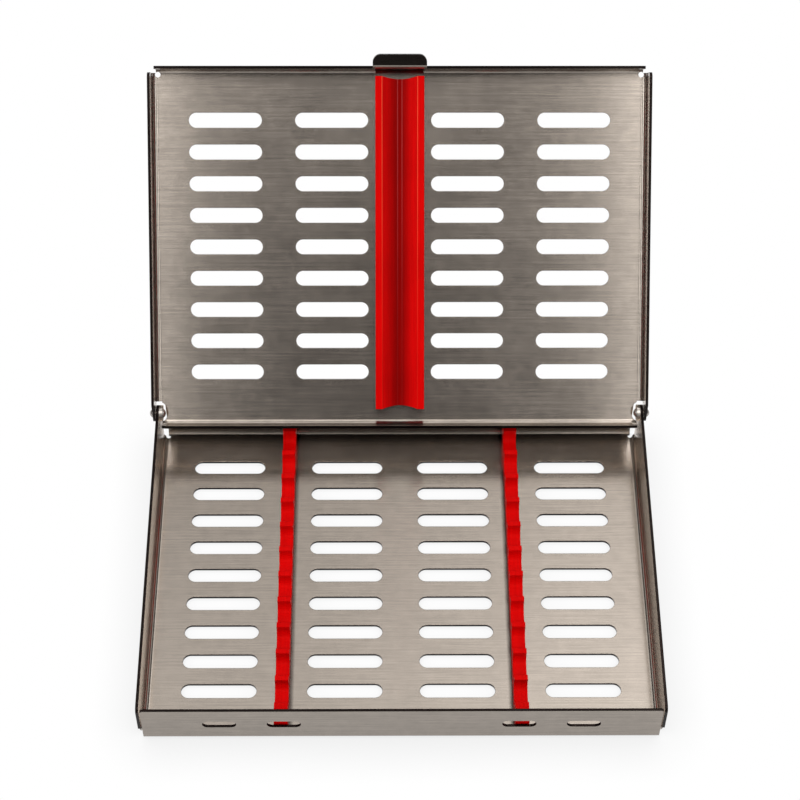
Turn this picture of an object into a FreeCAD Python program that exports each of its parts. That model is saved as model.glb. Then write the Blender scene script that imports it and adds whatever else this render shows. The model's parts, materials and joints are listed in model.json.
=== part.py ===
"""Instrument cassette: a folded perforated tray and its hinged lid, with silicone rails that hold the instruments.

Millimetres. The origin is the centre of the tray's underside, +Z up, +Y towards the hinge, +X to the right.
The lid stands open at open_angle. Lid pieces are drawn closed, in a frame whose X axis is the hinge axis,
and their bodies are then turned about it.
"""
import FreeCAD
import Part
import math
import os
import Sketcher

SHEET = "Sizes"
SIZES = {
    # sheet metal
    "sheet": 1.0,                 # thickness of the steel sheet
    "bend": 1.8,                  # inside radius of every fold
    "tip_round": 2.0,             # radius of the free corners of walls and flanges
    "relief_hole": 1.8,           # diameter of the round relief at the tray's corners
    "lid_relief_hole": 2.0,
    # tray
    "tray_width": 178.4,
    "tray_depth": 130.6,
    "front_height": 18.8,         # height of the front wall
    "side_drop": 0.4,             # side walls lie this much under the front wall's edge
    "front_end_gap": 1.55,        # front wall ends this far from the tray's side
    "rear_end_gap": 2.5,          # rear wall ends this far from the tray's side
    "side_front_gap": 0.6,        # side walls end this far inside the front and rear faces
    "corner_rise": 2.4,           # side walls start this far above their folds at the corners
    "corner_round": 1.5,
    # hinge
    "hinge_inset": 7.2,           # hinge axis to the rear face of the tray
    "hinge_height": 21.2,
    "ear_radius": 3.0,
    "ear_line": 2.1,              # hinge axis to the line of the side wall's top edge, which the ear rises above
    "rivet_shank": 2.0,           # diameter
    "lug_clearance": 0.05,        # radial clearance of the lug on the shank
    "ear_clearance": 0.02,
    "rivet_head": 3.4,            # diameter of the domed head
    "head_height": 1.3,
    "tail_height": 1.1,
    "washer_diameter": 6.0,
    "washer_thickness": 1.3,
    "open_angle": 135.7,          # degrees from the closed, level lid
    "stop_gap": 0.02,             # open lid to the rear wall it rests on
    # lid, with lengths taken from the hinge axis
    "side_clearance": 0.2,        # lid flange to tray wall, each side
    "lid_depth": 131.4,
    "lid_rear": 5.5,              # hinge axis to the rear face of the lid
    "lid_rise": 4.2,              # hinge axis to the lid's outer face
    "flange": 12.0,               # overall height of the front and side flanges
    "rear_flange": 6.0,
    "lid_corner_gap": 2.2,        # flanges end this far from the front corners
    "hinge_notch_width": 2.9,     # corner of the panel cut away at each hinge
    "hinge_notch_front": 4.0,
    "hinge_hole": 8.1,            # diameter of the round hole around each hinge
    "hinge_hole_inset": 1.0,      # its centre to the lid's side
    "tab_width": 19.4,
    "tab_length": 3.9,            # straight part beyond the bend
    "tab_angle": 70.0,            # degrees that the tab is bent out from the flange
    "tab_bend": 0.8,
    "tab_round": 2.8,
    # perforation
    "tray_slot_length": 26.1,
    "tray_slot_width": 5.5,
    "tray_slot_inner": 19.5,      # centre of the inner columns
    "tray_slot_outer": 63.0,
    "tray_slot_pitch": 11.88,
    "tray_slot_shift": 0.45,      # middle row behind the tray's centre
    "lid_slot_length": 26.5,
    "lid_slot_width": 5.4,
    "lid_slot_inner": 24.7,
    "lid_slot_outer": 63.3,
    "lid_slot_pitch": 11.48,
    "lid_slot_middle": 60.8,      # hinge axis to the middle row
    "wall_slot_length": 11.5,
    "wall_slot_width": 3.9,
    "wall_slot_inner": 39.7,
    "wall_slot_outer": 61.5,
    "wall_slot_height": 10.2,
    # tray rails
    "rail_width": 4.7,
    "rail_height": 10.0,
    "rail_offset": 40.9,          # centre of the rail to the middle of the tray
    "rail_end_gap": 0.4,
    "rail_end_round": 2.2,        # lower ends of the rail, which clear the folds of the tray
    "rail_pitch": 10.6,
    "notch_width": 8.6,
    "notch_depth": 4.6,
    "notch_round": 3.0,
    "strip_sheet": 0.8,
    "strip_height": 2.8,
    "strip_foot": 2.0,
    "strip_clearance": 0.05,
    "strip_end": 6.0,             # strip is this much shorter than its rail at each end
    # lid rail
    "lid_rail_width": 17.6,
    "lid_rail_height": 9.0,
    "lid_rail_land": 2.4,
    "lid_rail_valley": 3.2,
    "lid_rail_floor": 1.3,
    "lid_rail_front_gap": 2.5,
    "lid_rail_rear": 2.1,         # hinge axis to the rail's rear end
    "lid_rail_bow": 1.1,          # how far the ends curve in between the lands
    "channel_width": 9.6,
    "channel_height": 3.0,
}
ROWS = 9
NOTCHES = 11
OVERCUT = 1.0                     # how far a cut runs past the faces that it opens


class Size:
    """A number together with the sheet formula that gives it, so that arithmetic builds the formula too."""

    def __init__(self, value, text):
        self.value = float(value)
        self.text = text

    @staticmethod
    def wrap(other):
        return other if isinstance(other, Size) else Size(other, "(%r)" % float(other))

    def __add__(self, other):
        other = Size.wrap(other)
        return Size(self.value + other.value, "(%s + %s)" % (self.text, other.text))

    def __sub__(self, other):
        other = Size.wrap(other)
        return Size(self.value - other.value, "(%s - %s)" % (self.text, other.text))

    def __mul__(self, other):
        other = Size.wrap(other)
        return Size(self.value * other.value, "(%s * %s)" % (self.text, other.text))

    def __truediv__(self, other):
        other = Size.wrap(other)
        return Size(self.value / other.value, "(%s / %s)" % (self.text, other.text))

    def __neg__(self):
        return Size(-self.value, "(0 - %s)" % self.text)

    def sin(self):
        return Size(math.sin(math.radians(self.value)), "sin(%s)" % self.text)

    def cos(self):
        return Size(math.cos(math.radians(self.value)), "cos(%s)" % self.text)

    def asin(self):
        return Size(math.degrees(math.asin(self.value)), "asin(%s)" % self.text)

    def atan(self):
        return Size(math.degrees(math.atan(self.value)), "atan(%s)" % self.text)

    def root(self):
        return Size(math.sqrt(self.value), "sqrt(%s)" % self.text)


def size(alias):
    return Size(SIZES[alias], "%s.%s" % (SHEET, alias))


ZERO = Size(0.0, "0")
T = size("sheet")
R = size("bend")
FOLD = T + R                                            # outside radius of a fold
HALF_WIDTH = size("tray_width") / 2
HALF_DEPTH = size("tray_depth") / 2
HINGE_Y = HALF_DEPTH - size("hinge_inset")
HINGE_Z = size("hinge_height")
EAR = size("ear_radius")
LID_HALF = HALF_WIDTH + size("side_clearance") + T
LID_REAR = size("lid_rear")
LID_FRONT = LID_REAR - size("lid_depth")
LID_TOP = size("lid_rise")
LID_INSIDE = LID_TOP - T
LID_EDGE = LID_TOP - size("flange")                     # free edge of the flanges


def rear_wall_height():
    """The open lid's outer face rests on the inner top edge of the rear wall."""
    angle = size("open_angle")
    reach = size("hinge_inset") - T
    along = (reach - LID_TOP * angle.sin()) / (-angle.cos())
    contact = LID_TOP * angle.cos() + along * angle.sin()
    return HINGE_Z + contact - size("stop_gap")


def side_wall_slope():
    """Angle of the side walls' top edge, which runs from the front wall up to the ear."""
    rise = HINGE_Z - size("front_height") + size("side_drop")
    run = HINGE_Y + HALF_DEPTH
    reach = (rise * rise + run * run).root()
    return (rise / run).atan() + (size("ear_line") / reach).asin()


def make_sheet(doc):
    sheet = doc.addObject("Spreadsheet::Sheet", SHEET)
    for row, (alias, value) in enumerate(SIZES.items(), start=1):
        sheet.set("A%d" % row, alias)
        sheet.set("B%d" % row, str(value))
        sheet.setAlias("B%d" % row, alias)
    doc.recompute()
    return sheet


def make_body(doc, label):
    body = doc.addObject("PartDesign::Body", label)
    body.Label = label
    return body


def bind(feature, name, value):
    feature.setExpression(name, value.text)


def make_sketch(body, name, role, offset=None):
    """A sketch on one of the body's own origin planes, moved along the plane's normal by offset."""
    plane = [item for item in body.Origin.OriginFeatures if item.Role == role][0]
    sketch = body.newObject("Sketcher::SketchObject", name)
    sketch.AttachmentSupport = [(plane, "")]
    sketch.MapMode = "FlatFace"
    if offset is not None:
        sketch.AttachmentOffset = FreeCAD.Placement(FreeCAD.Vector(0, 0, offset.value), FreeCAD.Rotation())
        sketch.setExpression("AttachmentOffset.Base.z", offset.text)
    return sketch


def pin(sketch, item, point, x, y):
    """Holds one point of a sketch at sheet-driven coordinates."""
    for kind, where in (("DistanceX", x), ("DistanceY", y)):
        index = sketch.addConstraint(Sketcher.Constraint(kind, -1, 1, item, point, where.value))
        sketch.setExpression("Constraints[%d]" % index, where.text)


def set_radius(sketch, item, radius):
    index = sketch.addConstraint(Sketcher.Constraint("Radius", item, radius.value))
    sketch.setExpression("Constraints[%d]" % index, radius.text)


def draw_outline(sketch, corners):
    """A closed outline. A corner is (x, y), or (x, y, bend) when an arc leaves it for the next corner.

    The bend is (centre x, centre y, radius, clockwise).
    """
    points = [FreeCAD.Vector(corner[0].value, corner[1].value, 0) for corner in corners]
    ends = []
    for corner, start, finish in zip(corners, points, points[1:] + points[:1]):
        if len(corner) == 2:
            edge = sketch.addGeometry(Part.LineSegment(start, finish), False)
            ends.append((edge, 1, 2))
            continue
        centre_x, centre_y, radius, clockwise = corner[2]
        centre = FreeCAD.Vector(centre_x.value, centre_y.value, 0)
        first, last = (finish, start) if clockwise else (start, finish)
        angles = [math.atan2(point.y - centre.y, point.x - centre.x) for point in (first, last)]
        if angles[1] < angles[0]:
            angles[1] += 2 * math.pi
        circle = Part.Circle(centre, FreeCAD.Vector(0, 0, 1), radius.value)
        edge = sketch.addGeometry(Part.ArcOfCircle(circle, angles[0], angles[1]), False)
        ends.append((edge, 2, 1) if clockwise else (edge, 1, 2))
    for (edge, _, finish), (following, start, _) in zip(ends, ends[1:] + ends[:1]):
        sketch.addConstraint(Sketcher.Constraint("Coincident", edge, finish, following, start))
    for corner, (edge, start, _) in zip(corners, ends):
        pin(sketch, edge, start, corner[0], corner[1])
        if len(corner) == 3:
            set_radius(sketch, edge, corner[2][2])


def draw_box(sketch, x_low, x_high, y_low, y_high):
    draw_outline(sketch, [(x_low, y_low), (x_high, y_low), (x_high, y_high), (x_low, y_high)])


def draw_circle(sketch, x, y, radius):
    centre = FreeCAD.Vector(x.value, y.value, 0)
    circle = sketch.addGeometry(Part.Circle(centre, FreeCAD.Vector(0, 0, 1), radius.value), False)
    pin(sketch, circle, 3, x, y)
    set_radius(sketch, circle, radius)


def draw_slot(sketch, x, y, length, width, upright=False):
    """A round-ended slot: two arcs joined by two lines tangent to both."""
    radius = width / 2
    half = length / 2 - radius
    if upright:
        ends = [(x, y + half), (x, y - half)]
        turn = math.pi / 2
    else:
        ends = [(x + half, y), (x - half, y)]
        turn = 0.0
    arcs = []
    for (end_x, end_y), start in zip(ends, (turn - math.pi / 2, turn + math.pi / 2)):
        circle = Part.Circle(FreeCAD.Vector(end_x.value, end_y.value, 0), FreeCAD.Vector(0, 0, 1), radius.value)
        arcs.append(sketch.addGeometry(Part.ArcOfCircle(circle, start, start + math.pi), False))
    lines = []
    for arc, other in ((0, 1), (1, 0)):
        start = sketch.getPoint(arcs[arc], 2)
        end = sketch.getPoint(arcs[other], 1)
        lines.append(sketch.addGeometry(Part.LineSegment(start, end), False))
    for index, line in enumerate(lines):
        sketch.addConstraint(Sketcher.Constraint("Tangent", arcs[index], 2, line, 1))
        sketch.addConstraint(Sketcher.Constraint("Tangent", line, 2, arcs[1 - index], 1))
    sketch.addConstraint(Sketcher.Constraint("Equal", arcs[0], arcs[1]))
    set_radius(sketch, arcs[0], radius)
    for arc, (end_x, end_y) in zip(arcs, ends):
        pin(sketch, arc, 3, end_x, end_y)


def feature(body, kind, sketch, length=None, midplane=False, reverse=False, through=False):
    """A pad or a pocket of a sketch."""
    item = body.newObject("PartDesign::" + kind, sketch.Name + "_" + kind.lower())
    item.Profile = sketch
    if through:
        item.Type = "ThroughAll"
    elif length is not None:
        item.Length = length.value
        bind(item, "Length", length)
    item.Midplane = midplane
    item.Reversed = reverse
    body.Document.recompute()
    return item


def cut(body, sketch, **options):
    """A pocket that has to take something away."""
    before = body.Shape.Volume
    item = feature(body, "Pocket", sketch, **options)
    if body.Shape.Volume > before - 1e-6:
        raise ValueError("%s cuts nothing" % sketch.Name)
    return item


def edges_where(shape, test):
    names = []
    for index, edge in enumerate(shape.Edges, start=1):
        if test(edge.BoundBox, edge):
            names.append("Edge%d" % index)
    if not names:
        raise ValueError("no edge found")
    return names


def fillet(body, name, radius, test):
    base = body.Tip
    item = body.newObject("PartDesign::Fillet", name)
    item.Base = (base, edges_where(base.Shape, test))
    item.Radius = radius.value
    bind(item, "Radius", radius)
    body.Document.recompute()
    return item


def near(value, target):
    return abs(value - target.value) < 1e-4


def along(box, axis):
    """True for an edge that is straight along one axis."""
    lengths = {"X": box.XLength, "Y": box.YLength, "Z": box.ZLength}
    own = lengths.pop(axis)
    return own > 1e-3 and all(length < 1e-4 for length in lengths.values())


def repeat(body, name, base, role, pitch, count):
    """A row of copies of one feature along an axis of the body's origin."""
    axis = [item for item in body.Origin.OriginFeatures if item.Role == role][0]
    item = body.newObject("PartDesign::LinearPattern", name)
    item.Originals = [base]
    item.Direction = (axis, [""])
    item.Length = pitch.value * (count - 1)
    bind(item, "Length", pitch * (count - 1))
    item.Occurrences = count
    body.Tip = item
    body.Document.recompute()
    return item


def mirror(body, name, bases, role="YZ_Plane"):
    plane = [item for item in body.Origin.OriginFeatures if item.Role == role][0]
    item = body.newObject("PartDesign::Mirrored", name)
    item.Originals = bases
    item.MirrorPlane = (plane, [""])
    body.Tip = item
    body.Document.recompute()
    return item


def slot_columns(sketch, inner, outer, y, length, width):
    for column in (-outer, -inner, inner, outer):
        draw_slot(sketch, column, y, length, width)


def fold_box(body, half_width, y_low, y_high, z_low, z_high, opens_up):
    """A sheet box with folded edges, open at the top or, for the lid, underneath."""
    outline = make_sketch(body, "outline", "XY_Plane", z_low)
    draw_box(outline, -half_width, half_width, y_low, y_high)
    feature(body, "Pad", outline, z_high - z_low)
    inside_start = z_low + T if opens_up else z_high - T
    inside = make_sketch(body, "inside", "XY_Plane", inside_start)
    draw_box(inside, -half_width + T, half_width - T, y_low + T, y_high - T)
    cut(body, inside, through=True, reverse=opens_up)
    outer_face = z_low if opens_up else z_high
    fillet(body, "outer_folds", FOLD, lambda box, edge: near(box.ZMin, outer_face) and near(box.ZMax, outer_face))
    fillet(body, "inner_folds", R,
           lambda box, edge: near(box.ZMin, inside_start) and near(box.ZMax, inside_start))


def round_tips(body, name, places):
    """Rounds free corners of the sheet, given as (axis through the sheet, position across, height)."""
    def is_tip(box, edge):
        for axis, side, level in places:
            across = abs(box.XMin + box.XMax) / 2 if axis == "Y" else box.YMin
            if along(box, axis) and near(across, side) and near(box.ZMin, level):
                return True
        return False
    fillet(body, name, size("tip_round"), is_tip)


def signed(value, sign):
    return value * sign


def make_tray(doc):
    """One sheet: perforated floor, four folded walls, corner reliefs and two hinge ears."""
    body = make_body(doc, "base_tray")
    rear_top = rear_wall_height()
    highest = HINGE_Z + EAR
    over = Size(OVERCUT, "%r" % OVERCUT)
    fold_box(body, HALF_WIDTH, -HALF_DEPTH, HALF_DEPTH, ZERO, highest, True)

    front_end = HALF_WIDTH - size("front_end_gap")
    rear_end = HALF_WIDTH - size("rear_end_gap")
    side_front = -HALF_DEPTH + size("side_front_gap")
    side_rear = HALF_DEPTH - size("side_front_gap")
    fold_line = HALF_DEPTH - FOLD

    ends = make_sketch(body, "wall_ends", "XY_Plane")
    for sign in (-1, 1):
        inner_face = signed(HALF_WIDTH - T, sign)
        beyond = signed(HALF_WIDTH + over, sign)
        draw_box(ends, signed(front_end, sign), inner_face, -HALF_DEPTH - over, -fold_line)
        draw_box(ends, inner_face, beyond, -HALF_DEPTH - over, side_front)
        draw_box(ends, signed(rear_end, sign), inner_face, fold_line, HALF_DEPTH + over)
        draw_box(ends, inner_face, beyond, side_rear, HALF_DEPTH + over)
    cut(body, ends, through=True, reverse=True)

    corners = make_sketch(body, "corners", "XY_Plane")
    for sign in (-1, 1):
        beyond = signed(HALF_WIDTH + over, sign)
        draw_box(corners, signed(front_end, sign), beyond, -HALF_DEPTH - over, -fold_line)
        draw_box(corners, signed(rear_end, sign), beyond, fold_line, HALF_DEPTH + over)
    corner_top = FOLD + size("corner_rise")
    cut(body, corners, length=corner_top, reverse=True)

    reliefs = make_sketch(body, "reliefs", "XY_Plane")
    for sign in (-1, 1):
        draw_circle(reliefs, signed(front_end, sign), -fold_line, size("relief_hole") / 2)
        draw_circle(reliefs, signed(rear_end, sign), fold_line, size("relief_hole") / 2)
    cut(body, reliefs, length=T + over, reverse=True)

    slope = side_wall_slope()
    line = size("ear_line")
    chord = (EAR * EAR - line * line).root()
    foot_y = HINGE_Y - line * slope.sin() - chord * slope.cos()
    foot_z = HINGE_Z + line * slope.cos() - chord * slope.sin()
    side_start_z = foot_z - (foot_y + HALF_DEPTH) * slope.sin() / slope.cos()
    tip_z = foot_z - (foot_y - side_front) * slope.sin() / slope.cos()
    behind_ear = HINGE_Z - EAR * 1.5
    side_tops = make_sketch(body, "side_wall_tops", "YZ_Plane", HALF_WIDTH + over)
    draw_outline(side_tops, [
        (-HALF_DEPTH, side_start_z),
        (foot_y, foot_z, (HINGE_Y, HINGE_Z, EAR, True)),
        (HINGE_Y + EAR, HINGE_Z),
        (HINGE_Y + EAR, HINGE_Z - EAR),
        (side_rear, behind_ear),
        (HALF_DEPTH + over, behind_ear),
        (HALF_DEPTH + over, highest + over),
        (-HALF_DEPTH, highest + over),
    ])
    side_cut = cut(body, side_tops, length=T + over * 2)
    mirror(body, "side_wall_tops_left", [side_cut])

    end_tops = make_sketch(body, "end_wall_tops", "YZ_Plane")
    draw_box(end_tops, -HALF_DEPTH - over, ZERO, size("front_height"), highest + over)
    draw_box(end_tops, HINGE_Y, HALF_DEPTH + over, rear_top, highest + over)
    cut(body, end_tops, length=(HALF_WIDTH - T * 1.5) * 2, midplane=True)

    round_tips(body, "wall_tips", [
        ("Y", front_end, size("front_height")),
        ("Y", rear_end, rear_top),
        ("X", side_front, tip_z),
    ])
    fillet(body, "side_wall_feet", size("corner_round"),
           lambda box, edge: (along(box, "X") and near(box.ZMin, corner_top)
                              and (near(box.YMin, side_front) or near(box.YMin, side_rear))))

    rivet_holes = make_sketch(body, "rivet_holes", "YZ_Plane")
    draw_circle(rivet_holes, HINGE_Y, HINGE_Z, size("rivet_shank") / 2 + size("ear_clearance"))
    cut(body, rivet_holes, midplane=True, length=(HALF_WIDTH + over) * 2)

    wall_slots = make_sketch(body, "wall_slots", "XZ_Plane", HALF_DEPTH + over)
    slot_columns(wall_slots, size("wall_slot_inner"), size("wall_slot_outer"), size("wall_slot_height"),
                 size("wall_slot_length"), size("wall_slot_width"))
    cut(body, wall_slots, length=T + over * 2)

    slots = make_sketch(body, "floor_slots", "XY_Plane", -over)
    pitch = size("tray_slot_pitch")
    first_row = size("tray_slot_shift") - pitch * ((ROWS - 1) / 2)
    slot_columns(slots, size("tray_slot_inner"), size("tray_slot_outer"), first_row,
                 size("tray_slot_length"), size("tray_slot_width"))
    row = cut(body, slots, length=T + over * 2, reverse=True)
    repeat(body, "floor_slot_rows", row, "Y_Axis", pitch, ROWS)
    return body


def hang_on_hinge(body):
    """Turns a lid piece, drawn closed and level about the hinge axis, to the open lid's place."""
    body.Placement = FreeCAD.Placement(
        FreeCAD.Vector(0, HINGE_Y.value, HINGE_Z.value),
        FreeCAD.Rotation(FreeCAD.Vector(-1, 0, 0), SIZES["open_angle"]))
    bind(body, "Placement.Base.y", HINGE_Y)
    bind(body, "Placement.Base.z", HINGE_Z)
    bind(body, "Placement.Rotation.Angle", size("open_angle"))


def make_lid(doc):
    """One sheet: perforated panel, four folded flanges, two hinge lugs and the finger tab."""
    body = make_body(doc, "lid_cover")
    over = Size(OVERCUT, "%r" % OVERCUT)
    fold_box(body, LID_HALF, LID_FRONT, LID_REAR, LID_EDGE, LID_TOP, False)

    gap = size("lid_corner_gap")
    notch_side = LID_HALF - size("hinge_notch_width")
    notch_front = -size("hinge_notch_front")
    corners = make_sketch(body, "lid_corners", "XY_Plane", LID_TOP + over)
    for sign in (-1, 1):
        beyond = signed(LID_HALF + over, sign)
        draw_box(corners, signed(LID_HALF - gap, sign), beyond, LID_FRONT - over, LID_FRONT + gap)
        draw_box(corners, signed(notch_side, sign), beyond, notch_front, LID_REAR + over)
    cut(body, corners, through=True)
    holes = make_sketch(body, "hinge_holes", "XY_Plane", LID_TOP + over)
    for sign in (-1, 1):
        draw_circle(holes, signed(LID_HALF - size("hinge_hole_inset"), sign), ZERO, size("hinge_hole") / 2)
    cut(body, holes, through=True)

    reliefs = make_sketch(body, "lid_reliefs", "XY_Plane", LID_TOP + over)
    for sign in (-1, 1):
        draw_circle(reliefs, signed(LID_HALF - FOLD, sign), LID_FRONT + FOLD, size("lid_relief_hole") / 2)
    cut(body, reliefs, length=FOLD + over)

    rear_edge = make_sketch(body, "rear_flange_edge", "YZ_Plane")
    draw_box(rear_edge, LID_REAR - T * 1.5, LID_REAR + over, LID_EDGE - over, LID_TOP - size("rear_flange"))
    cut(body, rear_edge, midplane=True, length=LID_HALF * 2)

    round_tips(body, "flange_tips", [
        ("Y", LID_HALF - gap, LID_EDGE),
        ("Y", notch_side, LID_TOP - size("rear_flange")),
        ("X", LID_FRONT + gap, LID_EDGE),
    ])

    neck = LID_TOP - FOLD
    root = (EAR * EAR - neck * neck).root()
    diagonal = EAR * 0.5 * Size(2.0, "2.0").root()
    lug = make_sketch(body, "lug", "YZ_Plane", LID_HALF)
    draw_outline(lug, [
        (notch_front, LID_EDGE),
        (diagonal * 2 + LID_EDGE, LID_EDGE),
        (diagonal, -diagonal, (ZERO, ZERO, EAR, False)),
        (-root, neck),
        (notch_front, neck),
    ])
    lug_pad = feature(body, "Pad", lug, T, reverse=True)
    mirror(body, "lug_left", [lug_pad])

    pivots = make_sketch(body, "pivot_holes", "YZ_Plane")
    draw_circle(pivots, ZERO, ZERO, size("rivet_shank") / 2 + size("lug_clearance"))
    cut(body, pivots, midplane=True, length=(LID_HALF + over) * 2)

    bend = size("tab_bend")
    outer = bend + T
    angle = size("tab_angle")
    out_y = size("tab_length") * angle.sin()
    down_z = size("tab_length") * angle.cos()
    bend_y = LID_FRONT - bend
    outer_y = bend_y + outer * angle.cos()
    outer_z = LID_EDGE - outer * angle.sin()
    inner_y = bend_y + bend * angle.cos()
    inner_z = LID_EDGE - bend * angle.sin()
    tab = make_sketch(body, "tab", "YZ_Plane")
    draw_outline(tab, [
        (LID_FRONT, LID_EDGE),
        (LID_FRONT + T, LID_EDGE, (bend_y, LID_EDGE, outer, True)),
        (outer_y, outer_z),
        (outer_y - out_y, outer_z - down_z),
        (inner_y - out_y, inner_z - down_z),
        (inner_y, inner_z, (bend_y, LID_EDGE, bend, False)),
    ])
    feature(body, "Pad", tab, size("tab_width"), midplane=True)
    fillet(body, "tab_corners", size("tab_round"),
           lambda box, edge: near(edge.Length, T) and near(box.YMin, inner_y - out_y) and box.XLength < 1e-4)

    slots = make_sketch(body, "panel_slots", "XY_Plane", LID_TOP + over)
    pitch = size("lid_slot_pitch")
    first_row = -size("lid_slot_middle") - pitch * ((ROWS - 1) / 2)
    slot_columns(slots, size("lid_slot_inner"), size("lid_slot_outer"), first_row,
                 size("lid_slot_length"), size("lid_slot_width"))
    row = cut(body, slots, length=T + over * 2)
    repeat(body, "panel_slot_rows", row, "Y_Axis", pitch, ROWS)
    hang_on_hinge(body)
    return body


def make_base_rail(doc, label, sign):
    """A silicone bar with a row of notches, hollow underneath where it is pushed over its strip."""
    body = make_body(doc, label)
    centre = signed(size("rail_offset"), sign)
    half = size("rail_width") / 2
    end = HALF_DEPTH - T - size("rail_end_gap")
    top = T + size("rail_height")
    outline = make_sketch(body, label + "_outline", "XY_Plane", T)
    draw_box(outline, centre - half, centre + half, -end, end)
    feature(body, "Pad", outline, size("rail_height"))
    fillet(body, label + "_ends", size("rail_end_round"),
           lambda box, edge: along(box, "X") and near(box.ZMin, T) and near(abs(box.YMin), end))

    recess = make_sketch(body, label + "_recess", "XZ_Plane")
    gap = size("strip_clearance")
    leg = size("strip_sheet") / 2 + gap
    foot = size("strip_foot") - size("strip_sheet") / 2 + gap
    low = T + size("strip_sheet") + gap
    high = T + size("strip_height") + gap
    side = -1 if sign > 0 else 1
    draw_outline(recess, [
        (centre - leg * side, T),
        (centre + foot * side, T),
        (centre + foot * side, low),
        (centre + leg * side, low),
        (centre + leg * side, high),
        (centre - leg * side, high),
    ])
    cut(body, recess, midplane=True, length=(end - size("strip_end") + gap) * 2)

    notch = make_sketch(body, label + "_notch", "YZ_Plane")
    pitch = size("rail_pitch")
    middle = -pitch * ((NOTCHES - 1) / 2)
    reach = size("notch_width") / 2
    bottom = top - size("notch_depth")
    curve = size("notch_round")
    over = Size(OVERCUT, "%r" % OVERCUT)
    draw_outline(notch, [
        (middle - reach, top + over),
        (middle - reach, bottom + curve, (middle - reach + curve, bottom + curve, curve, False)),
        (middle - reach + curve, bottom),
        (middle + reach - curve, bottom, (middle + reach - curve, bottom + curve, curve, False)),
        (middle + reach, bottom + curve),
        (middle + reach, top + over),
    ])
    cutter = cut(body, notch, midplane=True, length=(size("rail_offset") + size("rail_width")) * 2)
    repeat(body, label + "_notches", cutter, "Y_Axis", pitch, NOTCHES)
    return body


def make_base_strip(doc, label, sign):
    """An L of thin sheet, welded to the floor by its foot."""
    body = make_body(doc, label)
    centre = signed(size("rail_offset"), sign)
    half = size("strip_sheet") / 2
    foot = size("strip_foot") - half
    side = -1 if sign > 0 else 1
    end = HALF_DEPTH - T - size("rail_end_gap") - size("strip_end")
    profile = make_sketch(body, label + "_profile", "XZ_Plane")
    draw_outline(profile, [
        (centre - half * side, T),
        (centre + foot * side, T),
        (centre + foot * side, T + size("strip_sheet")),
        (centre + half * side, T + size("strip_sheet")),
        (centre + half * side, T + size("strip_height")),
        (centre - half * side, T + size("strip_height")),
    ])
    feature(body, "Pad", profile, end * 2, midplane=True)
    return body


def lid_rail_ends():
    return LID_FRONT + T + size("lid_rail_front_gap"), -size("lid_rail_rear")


def channel_outline(sketch, gap):
    """The folded channel that holds the lid rail: a web on the panel and two legs, widened by gap."""
    sheet = size("strip_sheet")
    outer = size("channel_width") / 2 + gap
    inner = size("channel_width") / 2 - sheet - gap
    web = LID_INSIDE - sheet - gap
    edge = LID_INSIDE - size("channel_height") - gap
    draw_outline(sketch, [
        (-outer, LID_INSIDE),
        (-outer, edge),
        (-inner, edge),
        (-inner, web),
        (inner, web),
        (inner, edge),
        (outer, edge),
        (outer, LID_INSIDE),
    ])


def make_lid_rail(doc):
    """A wide silicone bar with a land along each side and a shallow valley between them."""
    body = make_body(doc, "lid_rail")
    half = size("lid_rail_width") / 2
    low = LID_INSIDE - size("lid_rail_height")
    valley = low + size("lid_rail_valley")
    land = half - size("lid_rail_land")
    floor = size("lid_rail_floor") / 2
    front, rear = lid_rail_ends()
    middle = (front + rear) / 2
    profile = make_sketch(body, "lid_rail_profile", "XZ_Plane", -middle)
    draw_outline(profile, [
        (-half, LID_INSIDE),
        (-half, low),
        (-land, low),
        (-floor, valley),
        (floor, valley),
        (land, low),
        (half, low),
        (half, LID_INSIDE),
    ])
    feature(body, "Pad", profile, rear - front, midplane=True)

    recess = make_sketch(body, "lid_rail_recess", "XZ_Plane", -middle)
    gap = size("strip_clearance")
    channel_outline(recess, gap)
    cut(body, recess, midplane=True, length=rear - front - size("strip_end") * 2 + gap * 2)

    bow = size("lid_rail_bow")
    radius = (land * land + bow * bow) / (bow * 2)
    ends = make_sketch(body, "lid_rail_ends", "XY_Plane", LID_INSIDE + OVERCUT)
    draw_circle(ends, ZERO, rear - bow + radius, radius)
    draw_circle(ends, ZERO, front + bow - radius, radius)
    cut(body, ends, through=True)
    hang_on_hinge(body)
    return body


def make_lid_strip(doc):
    body = make_body(doc, "lid_rail_strip")
    front, rear = lid_rail_ends()
    profile = make_sketch(body, "lid_strip_profile", "XZ_Plane", -(front + rear) / 2)
    channel_outline(profile, ZERO)
    feature(body, "Pad", profile, rear - front - size("strip_end") * 2, midplane=True)
    hang_on_hinge(body)
    return body


def put_on_hinge(body, left):
    """Moves a hinge piece, drawn about the axis on the right, to its ear."""
    turn = 180 if left else 0
    body.Placement = FreeCAD.Placement(
        FreeCAD.Vector(0, HINGE_Y.value, HINGE_Z.value), FreeCAD.Rotation(FreeCAD.Vector(0, 0, 1), turn))
    bind(body, "Placement.Base.y", HINGE_Y)
    bind(body, "Placement.Base.z", HINGE_Z)


def dome(height, foot):
    """Radius of a dome from its height and the radius of its foot."""
    return (foot * foot + height * height) / (height * 2)


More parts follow.
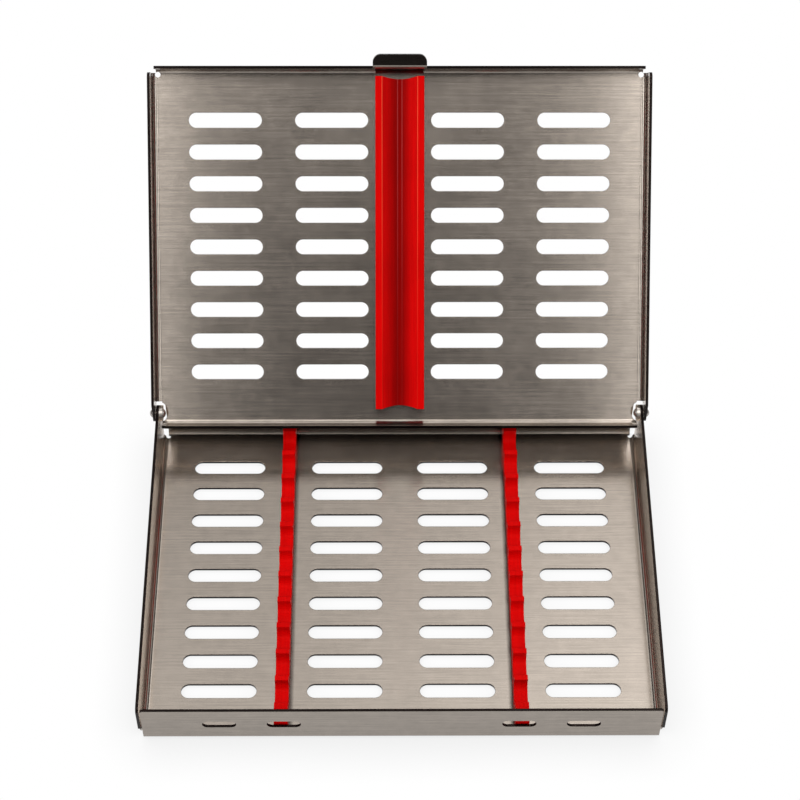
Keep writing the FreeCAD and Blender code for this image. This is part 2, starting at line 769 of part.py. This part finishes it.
def make_rivet(doc, label, left):
    """A shank with a domed head outside the lug and a lower dome inside the washer."""
    body = make_body(doc, label)
    shank = size("rivet_shank") / 2
    foot = size("rivet_head") / 2
    head_start = LID_HALF + size("lug_clearance")
    head_end = head_start + size("head_height")
    head_radius = dome(size("head_height"), foot)
    tail_start = HALF_WIDTH - T - size("washer_thickness")
    tail_end = tail_start - size("tail_height")
    tail_radius = dome(size("tail_height"), foot)
    half = make_sketch(body, label + "_half", "XY_Plane")
    draw_outline(half, [
        (head_end, ZERO, (head_end - head_radius, ZERO, head_radius, False)),
        (head_start, foot),
        (head_start, shank),
        (tail_start, shank),
        (tail_start, foot, (tail_end + tail_radius, ZERO, tail_radius, False)),
        (tail_end, ZERO),
    ])
    turned = body.newObject("PartDesign::Revolution", label + "_turned")
    turned.Profile = half
    turned.ReferenceAxis = (half, ["H_Axis"])
    turned.Angle = 360
    doc.recompute()
    put_on_hinge(body, left)
    return body


def make_washer(doc, label, left):
    body = make_body(doc, label)
    ring = make_sketch(body, label + "_ring", "YZ_Plane", HALF_WIDTH - T - size("washer_thickness"))
    draw_circle(ring, ZERO, ZERO, size("washer_diameter") / 2)
    draw_circle(ring, ZERO, ZERO, size("rivet_shank") / 2 + size("ear_clearance"))
    feature(body, "Pad", ring, size("washer_thickness"))
    put_on_hinge(body, left)
    return body


def check(doc):
    """Stops the build when any object is in error or any shape is empty or broken."""
    for item in doc.Objects:
        for word in ("Invalid", "Error"):
            if word in item.State:
                raise ValueError("%s is %s" % (item.Label, item.State))
        shape = getattr(item, "Shape", None)
        if item.TypeId == "PartDesign::Body" and (shape.isNull() or not shape.isValid()):
            raise ValueError("%s has a bad shape" % item.Label)


def main():
    os.makedirs("parts", exist_ok=True)
    doc = FreeCAD.newDocument("instrument_cassette")
    make_sheet(doc)
    bodies = [make_tray(doc), make_lid(doc)]
    for word, sign in (("left", -1), ("right", 1)):
        bodies.append(make_base_rail(doc, "base_rail_" + word, sign))
        bodies.append(make_base_strip(doc, "base_rail_strip_" + word, sign))
        bodies.append(make_rivet(doc, "hinge_rivet_" + word, sign < 0))
        bodies.append(make_washer(doc, "hinge_washer_" + word, sign < 0))
    bodies.append(make_lid_rail(doc))
    bodies.append(make_lid_strip(doc))
    doc.recompute()
    check(doc)
    for body in bodies:
        body.Shape.exportStep("parts/%s.step" % body.Label)


main()
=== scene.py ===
import json
import math

import bpy
from mathutils import Matrix, Vector


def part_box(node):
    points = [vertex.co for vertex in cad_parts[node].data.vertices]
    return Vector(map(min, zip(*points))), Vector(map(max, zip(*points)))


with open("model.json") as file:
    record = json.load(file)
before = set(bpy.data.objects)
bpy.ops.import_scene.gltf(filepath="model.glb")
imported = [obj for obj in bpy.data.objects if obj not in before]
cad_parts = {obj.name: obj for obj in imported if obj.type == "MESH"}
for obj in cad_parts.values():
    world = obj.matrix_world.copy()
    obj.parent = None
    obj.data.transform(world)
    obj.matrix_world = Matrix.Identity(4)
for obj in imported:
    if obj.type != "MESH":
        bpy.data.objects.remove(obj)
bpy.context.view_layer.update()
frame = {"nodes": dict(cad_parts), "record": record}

OPEN_ANGLE = math.radians(135.7)
HINGE_Y, HINGE_Z = frame["record"]["behaviour"]["joints"][0]["pos_m"][1:]


# Node helpers

def new_material(name):
    material = bpy.data.materials.new(name)
    material.use_nodes = True
    material.node_tree.nodes.clear()
    return material


def add(tree, kind, **settings):
    node = tree.nodes.new("ShaderNode" + kind)
    for key, value in settings.items():
        setattr(node, key, value)
    return node


def join(tree, source, target):
    tree.links.new(source, target)


def math_node(tree, operation, first, second=None, third=None, clamp=False):
    node = add(tree, "Math", operation=operation, use_clamp=clamp)
    for socket, value in zip(node.inputs, (first, second, third)):
        if value is None:
            continue
        if isinstance(value, (int, float)):
            socket.default_value = value
        else:
            join(tree, value, socket)
    return node.outputs[0]


def smooth_range(tree, value, low, high, out_low=0.0, out_high=1.0):
    node = add(tree, "MapRange", interpolation_type="SMOOTHSTEP", clamp=True)
    join(tree, value, node.inputs["Value"])
    for name, number in (("From Min", low), ("From Max", high), ("To Min", out_low), ("To Max", out_high)):
        node.inputs[name].default_value = number
    return node.outputs[0]


def noise(tree, vector, scale, detail=3.0, roughness=0.5):
    node = add(tree, "TexNoise")
    join(tree, vector, node.inputs["Vector"])
    node.inputs["Scale"].default_value = scale
    node.inputs["Detail"].default_value = detail
    node.inputs["Roughness"].default_value = roughness
    return node.outputs["Fac"]


def stretched(tree, vector, scale):
    node = add(tree, "Mapping")
    join(tree, vector, node.inputs["Vector"])
    node.inputs["Scale"].default_value = scale
    return node.outputs["Vector"]


def times(tree, first, second):
    return math_node(tree, "MULTIPLY", first, second)


def plus(tree, first, second):
    return math_node(tree, "ADD", first, second)


def split_vector(tree, vector):
    node = add(tree, "SeparateXYZ")
    join(tree, vector, node.inputs[0])
    return node.outputs


def mixed_colour(tree, factor, low, high):
    node = add(tree, "Mix", data_type="RGBA")
    join(tree, factor, node.inputs[0])
    node.inputs[6].default_value = (*low, 1.0)
    node.inputs[7].default_value = (*high, 1.0)
    return node.outputs[2]


def scaled_colour(tree, colour, factor):
    node = add(tree, "Mix", data_type="RGBA", blend_type="MULTIPLY")
    node.inputs[0].default_value = 1.0
    join(tree, colour, node.inputs[6])
    join(tree, factor, node.inputs[7])
    return node.outputs[2]


def painted(tree, colour, mask, tone):
    """Lays a plain tone over a colour where the mask is one."""
    node = add(tree, "Mix", data_type="RGBA")
    join(tree, mask, node.inputs[0])
    join(tree, colour, node.inputs[6])
    node.inputs[7].default_value = (*tone, 1.0)
    return node.outputs[2]


# Cut faces of the sheet and the finger tab: painted shade, near black where the blank was punched and trimmed
# and on the tab

SHEET = 0.001
EDGE_MARGIN = 0.00006
EDGE_LEAN = 0.3              # how far a cut face of a wall may lean towards the wall's own normal
FLOOR_EDGE_LEAN = 0.35
TAB_START = 0.0001           # how far ahead of the lid's front flange the finger tab counts as such
TAB_TILT = -0.3
TAB_SHADE_STRENGTH = 0.93
CUT_SHADE_TONE = (0.012, 0.009, 0.008)


def shaded_cut_edges(tree, place, normal, half_width, front, rear, floor, inward, level):
    """Marks faces that cross the sheet, and the finger tab, which get painted shade, for a folded box given
    by its outer faces.

    floor is the outer face of the floor or panel, inward the side that its inside is on, and level
    the height at which the walls start to be flat.
    """
    spot = split_vector(tree, place)
    lean = split_vector(tree, normal)
    x, y, z = [math_node(tree, "ABSOLUTE", output) for output in lean]
    across = math_node(tree, "ABSOLUTE", spot["X"])
    depth = times(tree, math_node(tree, "SUBTRACT", spot["Z"], floor), inward)
    thick = SHEET + EDGE_MARGIN

    in_floor = times(tree, math_node(tree, "LESS_THAN", depth, thick),
                     math_node(tree, "LESS_THAN", z, FLOOR_EDGE_LEAN))
    side = times(tree, math_node(tree, "GREATER_THAN", across, half_width - thick),
                 math_node(tree, "LESS_THAN", x, EDGE_LEAN))
    ahead = math_node(tree, "LESS_THAN", spot["Y"], front + thick)
    behind = math_node(tree, "GREATER_THAN", spot["Y"], rear - thick)
    ends = times(tree, math_node(tree, "MAXIMUM", ahead, behind),
                 math_node(tree, "LESS_THAN", y, EDGE_LEAN))
    ends = times(tree, ends, math_node(tree, "LESS_THAN", across, half_width - thick))
    walls = times(tree, math_node(tree, "MAXIMUM", side, ends), math_node(tree, "GREATER_THAN", depth, level))

    # painted shade on the finger tab
    tab = times(tree, math_node(tree, "LESS_THAN", spot["Y"], front - TAB_START),
                math_node(tree, "LESS_THAN", lean["Z"], TAB_TILT))
    tab = times(tree, tab, TAB_SHADE_STRENGTH)
    return math_node(tree, "MAXIMUM", math_node(tree, "MAXIMUM", in_floor, walls), tab)


# Painted reflections and shade: where the steel's colour is lightened or darkened for what it mirrors of the
# cassette itself

LID_SIDES = (0.066, 0.088)           # painted reflection, lighter beside the lid's side folds, in distance from the middle
LID_SIDES_REFLECTION = (1.0, 1.35)
LID_REAR = (0.0044, 0.0047)          # painted reflection, lighter on the outer face of the lid's rear flange
LID_REAR_REFLECTION = (0.0, 0.6)
TRAY_REAR = (0.0455, 0.0500)         # painted reflection, a lighter band of the tray's floor, which fades again and turns to painted shade at the fold
TRAY_REAR_REFLECTION = (0.0, 1.9)
TRAY_FADE = (0.0565, 0.0625)
TRAY_REFLECTION_FADE_TO_SHADE = (1.0, -0.35)
# painted reflection that lightens the inner faces of the side walls
INNER_WALL_REFLECTION = 1.6
RAIL_FOOT = (0.0368, 0.0380)         # painted shade, a darker line beside the base rails, up to the rails' middle
RAIL_FOOT_SHADE_AMOUNT = (0.0, 0.55)
RAIL_MIDDLE = 0.0400
FLOOR_TOP = 0.0012


def lid_painted_reflection(tree, spot):
    wide = math_node(tree, "ABSOLUTE", spot["X"])
    side_fold_reflection = smooth_range(tree, wide, *LID_SIDES, *LID_SIDES_REFLECTION)
    return plus(tree, side_fold_reflection, smooth_range(tree, spot["Y"], *LID_REAR, *LID_REAR_REFLECTION))


def tray_painted_light(tree, spot, sideways, normal_x):
    wide = math_node(tree, "ABSOLUTE", spot["X"])
    low_down = math_node(tree, "LESS_THAN", spot["Z"], FLOOR_TOP)
    rear_reflection = times(tree, smooth_range(tree, spot["Y"], *TRAY_REAR, *TRAY_REAR_REFLECTION),
                      smooth_range(tree, spot["Y"], *TRAY_FADE, *TRAY_REFLECTION_FADE_TO_SHADE))
    painted_light = plus(tree, times(tree, rear_reflection, low_down), 1.0)
    facing_in = math_node(tree, "LESS_THAN", times(tree, normal_x, spot["X"]), 0.0)
    painted_light = plus(tree, painted_light, times(tree, sideways, times(tree, facing_in, INNER_WALL_REFLECTION)))
    painted_rail_foot_shade = times(tree, smooth_range(tree, wide, *RAIL_FOOT, *RAIL_FOOT_SHADE_AMOUNT),
                        math_node(tree, "LESS_THAN", wide, RAIL_MIDDLE))
    return math_node(tree, "SUBTRACT", painted_light, times(tree, painted_rail_foot_shade, low_down))


# Brushed steel: the grain runs along X on the blank, so it stands upright on the folded sides

FINE_GRAIN = (60.0, 5200.0, 1.0)     # noise cells per metre along the grain and across it
COARSE_GRAIN = (26.0, 1500.0, 1.0)
SCRATCH_GRAIN = (240.0, 2600.0, 1.0)
BLOTCH_SCALE = 38.0
WEAR_SCALE = 240.0
SIDE_NORMAL = 0.75
GRAIN_SPREAD = 0.90
STEEL_ROUNDING = 0.00025
STEEL_BUMP = 0.35


def closed_lid(tree, vector):
    """Turns a place or a normal of the open lid to where it is on the closed lid."""
    node = add(tree, "VectorRotate", rotation_type="X_AXIS")
    join(tree, vector, node.inputs["Vector"])
    node.inputs["Angle"].default_value = OPEN_ANGLE
    return node.outputs["Vector"]


def steel(name, light, dark, roughness, turned=False, grain_depth=0.02, box=None):
    material = new_material(name)
    tree = material.node_tree
    place = add(tree, "TexCoord").outputs["Object"]
    if turned:
        shift = add(tree, "VectorMath", operation="SUBTRACT")
        join(tree, place, shift.inputs[0])
        shift.inputs[1].default_value = (0.0, HINGE_Y, HINGE_Z)
        place = closed_lid(tree, shift.outputs[0])
    spot = split_vector(tree, place)
    true_normal = add(tree, "NewGeometry").outputs["True Normal"]
    normal_x = split_vector(tree, true_normal)["X"]
    sideways = math_node(tree, "GREATER_THAN", math_node(tree, "ABSOLUTE", normal_x), SIDE_NORMAL)
    level = math_node(tree, "SUBTRACT", 1.0, sideways)

    grain_place = add(tree, "CombineXYZ")
    join(tree, plus(tree, spot["X"], times(tree, spot["Z"], sideways)), grain_place.inputs["X"])
    join(tree, plus(tree, times(tree, spot["Z"], level), spot["Y"]), grain_place.inputs["Y"])
    along = grain_place.outputs[0]
    fine = noise(tree, stretched(tree, along, FINE_GRAIN), 1.0, 4.0, 0.65)
    coarse = noise(tree, stretched(tree, along, COARSE_GRAIN), 1.0, 3.0, 0.6)
    scratches = noise(tree, stretched(tree, along, SCRATCH_GRAIN), 1.0, 2.0, 0.5)
    blotches = noise(tree, place, BLOTCH_SCALE, 3.0, 0.55)
    wear = noise(tree, place, WEAR_SCALE, 4.0, 0.6)

    tone = plus(tree, times(tree, fine, 0.45), times(tree, coarse, 0.35))
    tone = smooth_range(tree, plus(tree, tone, times(tree, wear, 0.20)), 0.37, 0.63)
    colour = mixed_colour(tree, tone, dark, light)
    if box:
        # painted reflections and shade on the lid and the tray
        painted_light = lid_painted_reflection(tree, spot) if turned else tray_painted_light(tree, spot, sideways, normal_x)
        colour = scaled_colour(tree, colour, painted_light)
        normal = add(tree, "VectorTransform", vector_type="NORMAL", convert_from="WORLD", convert_to="OBJECT")
        join(tree, true_normal, normal.inputs[0])
        normal = closed_lid(tree, normal.outputs[0]) if turned else normal.outputs[0]
        # painted shade: the cut faces and the finger tab turn near black
        colour = painted(tree, colour, shaded_cut_edges(tree, place, normal, *box), CUT_SHADE_TONE)

    rough = plus(tree, roughness - 0.07, times(tree, coarse, 0.04))
    rough = plus(tree, rough, times(tree, blotches, 0.08))
    rough = plus(tree, rough, smooth_range(tree, scratches, 0.66, 0.78, 0.0, 0.025))
    rough = plus(tree, rough, times(tree, wear, 0.03))

    bevel = add(tree, "Bevel", samples=4)
    bevel.inputs["Radius"].default_value = STEEL_ROUNDING
    bump = add(tree, "Bump")
    bump.inputs["Strength"].default_value = STEEL_BUMP
    bump.inputs["Distance"].default_value = grain_depth / 1000
    join(tree, plus(tree, fine, times(tree, coarse, 0.22)), bump.inputs["Height"])
    join(tree, bevel.outputs[0], bump.inputs["Normal"])

    shader = add(tree, "BsdfPrincipled")
    shader.inputs["Metallic"].default_value = 1.0
    shader.inputs["Anisotropic"].default_value = GRAIN_SPREAD
    shader.inputs["Anisotropic Rotation"].default_value = 0.25
    grain_axis = add(tree, "CombineXYZ")
    join(tree, level, grain_axis.inputs["X"])
    if turned:
        join(tree, times(tree, sideways, math.sin(OPEN_ANGLE)), grain_axis.inputs["Y"])
        join(tree, times(tree, sideways, math.cos(OPEN_ANGLE)), grain_axis.inputs["Z"])
    else:
        join(tree, sideways, grain_axis.inputs["Z"])
    to_world = add(tree, "VectorTransform", vector_type="VECTOR", convert_from="OBJECT", convert_to="WORLD")
    join(tree, grain_axis.outputs[0], to_world.inputs[0])
    join(tree, to_world.outputs[0], shader.inputs["Tangent"])
    join(tree, colour, shader.inputs["Base Color"])
    join(tree, rough, shader.inputs["Roughness"])
    join(tree, bump.outputs[0], shader.inputs["Normal"])
    output = add(tree, "OutputMaterial")
    join(tree, shader.outputs[0], output.inputs["Surface"])
    return material


# Silicone: a moulded, slightly waxy red with faint flow lines along the rail

# The lid rail's section, in distance from its middle
RAIL_HALF = 0.0088
RAIL_SLOPE = 0.0064
RAIL_GROOVE = 0.0008
VALLEY_START = 0.0002
OUTER_HIGHLIGHT_HALF, INNER_HIGHLIGHT_HALF = 0.00012, 0.00016
# painted highlight lines along the edges: how they rise along the rail, and their colours
HIGHLIGHT_HEIGHTS = (0.035, 0.105)
OUTER_EDGE_HIGHLIGHT = (0.90, 0.16, 0.07)
INNER_EDGE_HIGHLIGHT = (0.46, 0.075, 0.075)


def painted_rail_shading(tree, place, colour):
    """Paints shade into the lid rail's valley and slopes, the left slope darker than the right, and painted
    highlight lines along the four edges of its lands and groove.
    """
    spot = split_vector(tree, place)
    wide = math_node(tree, "ABSOLUTE", spot["X"])
    # painted shade on the slopes, darker towards the valley and darker on the left than on the right
    left = smooth_range(tree, wide, VALLEY_START, RAIL_SLOPE, 0.32, 0.84)
    right = smooth_range(tree, wide, VALLEY_START, RAIL_SLOPE * 0.8, 0.36, 1.0)
    side = math_node(tree, "GREATER_THAN", spot["X"], 0.0)
    slope = plus(tree, times(tree, right, side), times(tree, left, math_node(tree, "SUBTRACT", 1.0, side)))
    depth = math_node(tree, "MAXIMUM", slope, math_node(tree, "GREATER_THAN", wide, RAIL_SLOPE))
    shaded_section = scaled_colour(tree, colour, depth)
    # painted highlights along the four edges, stronger higher up the rail
    highlight_rise = smooth_range(tree, spot["Z"], *HIGHLIGHT_HEIGHTS, 0.10, 1.0)
    outer_highlight = math_node(tree, "COMPARE", wide, RAIL_SLOPE, OUTER_HIGHLIGHT_HALF)
    outer_highlight = times(tree, outer_highlight, times(tree, highlight_rise, 0.45))
    inner_highlight = math_node(tree, "COMPARE", wide, RAIL_GROOVE, INNER_HIGHLIGHT_HALF)
    inner_highlight = times(tree, inner_highlight, times(tree, highlight_rise, 0.38))
    shaded_section = painted(tree, painted(tree, shaded_section, outer_highlight, OUTER_EDGE_HIGHLIGHT), inner_highlight, INNER_EDGE_HIGHLIGHT)
    both = add(tree, "Mix", data_type="RGBA")
    join(tree, math_node(tree, "LESS_THAN", wide, RAIL_HALF + 0.0005), both.inputs[0])
    join(tree, colour, both.inputs[6])
    join(tree, shaded_section, both.inputs[7])
    return both.outputs[2]


SILICONE_DARK = (0.50, 0.0004, 0.0006)
SILICONE_LIGHT = (0.60, 0.0008, 0.0010)
FLOW_LINES = (1900.0, 40.0, 40.0)
SILICONE_ROUNDING = 0.0004
SILICONE_BUMP = 0.00004
SILICONE_TINT = (1.0, 0.06, 0.05, 1.0)


def silicone(name):
    material = new_material(name)
    tree = material.node_tree
    place = add(tree, "TexCoord").outputs["Object"]
    flow = noise(tree, stretched(tree, place, FLOW_LINES), 1.0, 3.0, 0.6)
    skin = noise(tree, place, 900.0, 3.0, 0.6)
    patches = noise(tree, place, 60.0, 2.0, 0.5)
    tone = smooth_range(tree, plus(tree, times(tree, flow, 0.6), times(tree, patches, 0.4)), 0.35, 0.65)
    colour = painted_rail_shading(tree, place, mixed_colour(tree, tone, SILICONE_DARK, SILICONE_LIGHT))
    rough = smooth_range(tree, skin, 0.2, 0.8, 0.36, 0.50)
    bevel = add(tree, "Bevel", samples=4)
    bevel.inputs["Radius"].default_value = SILICONE_ROUNDING
    bump = add(tree, "Bump")
    bump.inputs["Strength"].default_value = 0.3
    bump.inputs["Distance"].default_value = SILICONE_BUMP
    join(tree, plus(tree, skin, flow), bump.inputs["Height"])
    join(tree, bevel.outputs[0], bump.inputs["Normal"])
    shader = add(tree, "BsdfPrincipled")
    shader.inputs["Specular IOR Level"].default_value = 0.30
    shader.inputs["Specular Tint"].default_value = SILICONE_TINT
    join(tree, colour, shader.inputs["Base Color"])
    join(tree, rough, shader.inputs["Roughness"])
    join(tree, bump.outputs[0], shader.inputs["Normal"])
    output = add(tree, "OutputMaterial")
    join(tree, shader.outputs[0], output.inputs["Surface"])
    return material


# Outer faces of the two folded boxes: half width, front, rear, floor or panel, which way its inside lies,
# and the height of the folds. The lid's are taken from the hinge axis, closed.
tray_low, tray_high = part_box("base_tray")
FOLDS = 0.0028
LID_OVERHANG = 0.0012
LID_FRONT, LID_BACK, LID_PANEL = -0.1259, 0.0055, 0.0042
TRAY_BOX = (tray_high[0], tray_low[1], tray_high[1], 0.0, 1.0, FOLDS)
LID_BOX = (tray_high[0] + LID_OVERHANG, LID_FRONT, LID_BACK, LID_PANEL, -1.0, FOLDS)

SHEET_TONES = (0.345, 0.305, 0.268), (0.265, 0.235, 0.207)
HINGE_TONES = (0.46, 0.43, 0.40), (0.33, 0.31, 0.29)
materials = {
    "tray_steel": steel("tray_steel", *SHEET_TONES, 0.21, box=TRAY_BOX),
    "lid_steel": steel("lid_steel", *SHEET_TONES, 0.20, turned=True, box=LID_BOX),
    "hinge_steel": steel("hinge_steel", *HINGE_TONES, 0.17, grain_depth=0.008),
    "strip_steel": steel("strip_steel", *SHEET_TONES, 0.30),
    "silicone": silicone("silicone"),
}
slot_of = {row["node"]: row["material_slot"] for row in frame["record"]["subparts"]}
for node, thing in frame["nodes"].items():
    material = materials[slot_of[node]]
    if not thing.material_slots:
        thing.data.materials.append(material)
    for slot in thing.material_slots:
        slot.material = material


# White background: what the camera sees directly, in metal and through clear parts

def sees_background(tree):
    """Masks for the rays that see the background straight, and for those and mirrored ones."""
    path = add(tree, "LightPath")
    straight = math_node(tree, "MAXIMUM", path.outputs["Is Camera Ray"], path.outputs["Is Transmission Ray"])
    return straight, math_node(tree, "MAXIMUM", straight, path.outputs["Is Glossy Ray"])


# Floor: white background with a painted shadow that darkens it close to the object, and a plain matt white to
# diffuse rays

FLOOR_SIZE = 6.0
FLOOR_GAP = 0.0001
FLOOR_MATT = 0.82
SHADE_REACH = 0.018
SHADE_TONE = 0.76


def make_floor():
    bpy.ops.mesh.primitive_plane_add(size=FLOOR_SIZE, location=(0.0, 0.0, -FLOOR_GAP))
    floor = bpy.context.object
    floor.name = "floor"
    material = new_material("floor")
    tree = material.node_tree
    matt = add(tree, "BsdfDiffuse")
    matt.inputs["Color"].default_value = (FLOOR_MATT, FLOOR_MATT, FLOOR_MATT, 1.0)
    near = add(tree, "AmbientOcclusion", samples=8)
    near.inputs["Distance"].default_value = SHADE_REACH
    # painted shadow: ambient occlusion dims the emitted white near the object
    shade = mixed_colour(tree, near.outputs["AO"], (SHADE_TONE, SHADE_TONE, SHADE_TONE), (1.0, 1.0, 1.0))
    white = add(tree, "Emission")
    join(tree, shade, white.inputs["Color"])
    white.inputs["Strength"].default_value = 1.0
    mix = add(tree, "MixShader")
    join(tree, sees_background(tree)[1], mix.inputs[0])
    join(tree, matt.outputs[0], mix.inputs[1])
    join(tree, white.outputs[0], mix.inputs[2])
    output = add(tree, "OutputMaterial")
    join(tree, mix.outputs[0], output.inputs["Surface"])
    floor.data.materials.append(material)


# Studio: a white backdrop that metal mirrors near the horizon, below a dim room with soft-edged bright panels

ROOM = 0.05
BACKDROP_TOP = 0.03
WARM_WHITE = (1.0, 0.985, 0.965, 1.0)

# What the open lid mirrors: the gap between two front panels, with a bright one above.
# The pairs are where each soft edge starts and ends, in the world's own direction coordinates.
FRONT_BASE = 0.03
FRONT_SIDES = 2.30
FRONT_TOP = 2.20
FRONT_FACING = (0.05, -0.25)
FRONT_INNER_EDGE = (0.088, 0.130)
FRONT_OUTER_EDGE = (0.38, 0.52)
FRONT_SIDES_RISE = (0.58, 0.74)
FRONT_TOP_RISE = (0.77, 0.85)
FRONT_MIDDLE_EDGE = (0.30, 0.45)

# What the tray's floor mirrors, brighter to the right and towards both sides
BACK_LEVEL = 1.40
BACK_SLOPE = 1.60
BACK_SIDES = 0.55
BACK_FACING = (0.10, 0.35)
BACK_SLOPE_SPAN = (-0.16, 0.16)
BACK_SIDES_EDGE = (0.050, 0.105)
BACK_OUTER_EDGE = (0.22, 0.34)
BACK_RISE = (0.76, 0.92)

# Upright strips to the left and right
SIDE_STRIPS = 1.00
STRIP_START = (0.58, 0.66)
STRIP_END = (0.78, 0.88)
PANELS_RISE = (0.0, 0.25)


def front_panels(tree, wide, z):
    sides = times(tree, smooth_range(tree, wide, *FRONT_INNER_EDGE, 0.0, FRONT_SIDES),
                  smooth_range(tree, wide, *FRONT_OUTER_EDGE, 1.0, 0.0))
    sides = times(tree, sides, smooth_range(tree, z, *FRONT_SIDES_RISE, 0.40, 1.0))
    middle = smooth_range(tree, wide, *FRONT_MIDDLE_EDGE, FRONT_BASE, 0.0)
    top = times(tree, smooth_range(tree, z, *FRONT_TOP_RISE, 0.0, FRONT_TOP),
                smooth_range(tree, wide, *FRONT_MIDDLE_EDGE, 1.0, 0.0))
    return plus(tree, plus(tree, sides, middle), top)


def back_panel(tree, x, wide, z):
    slope = plus(tree, smooth_range(tree, x, *BACK_SLOPE_SPAN, 0.0, BACK_SLOPE),
                 smooth_range(tree, wide, *BACK_SIDES_EDGE, 0.0, BACK_SIDES))
    level = times(tree, plus(tree, slope, BACK_LEVEL), smooth_range(tree, wide, *BACK_OUTER_EDGE, 1.0, 0.0))
    return times(tree, level, smooth_range(tree, z, *BACK_RISE, 0.10, 1.15))


def make_studio():
    world = bpy.data.worlds.new("studio")
    bpy.context.scene.world = world
    world.use_nodes = True
    tree = world.node_tree
    tree.nodes.clear()
    x, y, z = split_vector(tree, add(tree, "TexCoord").outputs["Generated"])
    wide = math_node(tree, "ABSOLUTE", x)
    front = times(tree, front_panels(tree, wide, z), smooth_range(tree, y, *FRONT_FACING))
    back = times(tree, back_panel(tree, x, wide, z), smooth_range(tree, y, *BACK_FACING))
    strips = times(tree, smooth_range(tree, wide, *STRIP_START, 0.0, SIDE_STRIPS),
                   smooth_range(tree, wide, *STRIP_END, 1.0, 0.0))
    level = plus(tree, plus(tree, front, back), strips)
    level = plus(tree, times(tree, level, smooth_range(tree, z, *PANELS_RISE)), ROOM)
    tint = add(tree, "Mix", data_type="RGBA", blend_type="MULTIPLY")
    tint.inputs[0].default_value = 1.0
    join(tree, level, tint.inputs[6])
    tint.inputs[7].default_value = WARM_WHITE
    room = add(tree, "Background")
    join(tree, tint.outputs[2], room.inputs["Color"])
    backdrop = add(tree, "Background")
    backdrop.inputs["Color"].default_value = (1.0, 1.0, 1.0, 1.0)
    straight, mirrored = sees_background(tree)
    horizon = times(tree, mirrored, math_node(tree, "LESS_THAN", z, BACKDROP_TOP))
    mix = add(tree, "MixShader")
    join(tree, math_node(tree, "MAXIMUM", straight, horizon), mix.inputs[0])
    join(tree, room.outputs[0], mix.inputs[1])
    join(tree, backdrop.outputs[0], mix.inputs[2])
    output = add(tree, "OutputWorld")
    join(tree, mix.outputs[0], output.inputs["Surface"])


def make_light(name, place, width, height, power):
    data = bpy.data.lights.new(name, "AREA")
    data.shape = "RECTANGLE"
    data.size, data.size_y = width, height
    data.energy = power
    light = bpy.data.objects.new(name, data)
    bpy.context.scene.collection.objects.link(light)
    light.location = place
    light.rotation_euler = (-Vector(place)).to_track_quat("-Z", "Y").to_euler()


make_floor()
make_studio()
make_light("key", (-1.00, -0.20, 0.75), 0.5, 0.5, 2.3)
make_light("fill", (1.00, -0.20, 0.75), 0.5, 0.5, 1.4)
make_light("back", (0.0, 1.20, 0.55), 0.8, 0.3, 1.8)
make_light("front_left", (-0.90, -1.00, 0.35), 0.4, 0.4, 1.1)
make_light("front_right", (0.90, -1.00, 0.35), 0.4, 0.4, 1.1)


# Camera at the photograph's angle

CAMERA_LENS, SENSOR_WIDTH = 98.6710, 36.0
CAMERA_X, CAMERA_Y, CAMERA_Z = -0.006145, -0.429476, 0.662600
CAMERA_PITCH, CAMERA_YAW, CAMERA_ROLL = 0.914882, 0.012667, 0.008878


def make_camera():
    place = Vector((CAMERA_X, CAMERA_Y, CAMERA_Z))
    pitch, yaw, roll = CAMERA_PITCH, CAMERA_YAW, CAMERA_ROLL
    ahead = Vector((math.sin(yaw) * math.cos(pitch), math.cos(yaw) * math.cos(pitch), -math.sin(pitch)))
    level = Vector((math.cos(yaw), -math.sin(yaw), 0.0))
    upward = level.cross(ahead)
    right = math.cos(roll) * level + math.sin(roll) * upward
    up = -math.sin(roll) * level + math.cos(roll) * upward
    data = bpy.data.cameras.new("camera")
    data.lens = CAMERA_LENS
    data.sensor_width = SENSOR_WIDTH
    data.clip_start, data.clip_end = 0.01, 20.0
    camera = bpy.data.objects.new("camera", data)
    bpy.context.scene.collection.objects.link(camera)
    camera.matrix_world = Matrix((
        (right.x, up.x, -ahead.x, place.x),
        (right.y, up.y, -ahead.y, place.y),
        (right.z, up.z, -ahead.z, place.z),
        (0.0, 0.0, 0.0, 1.0),
    ))
    bpy.context.scene.camera = camera


make_camera()

scene = bpy.context.scene
scene.view_settings.view_transform = "Standard"
scene.view_settings.look = "None"
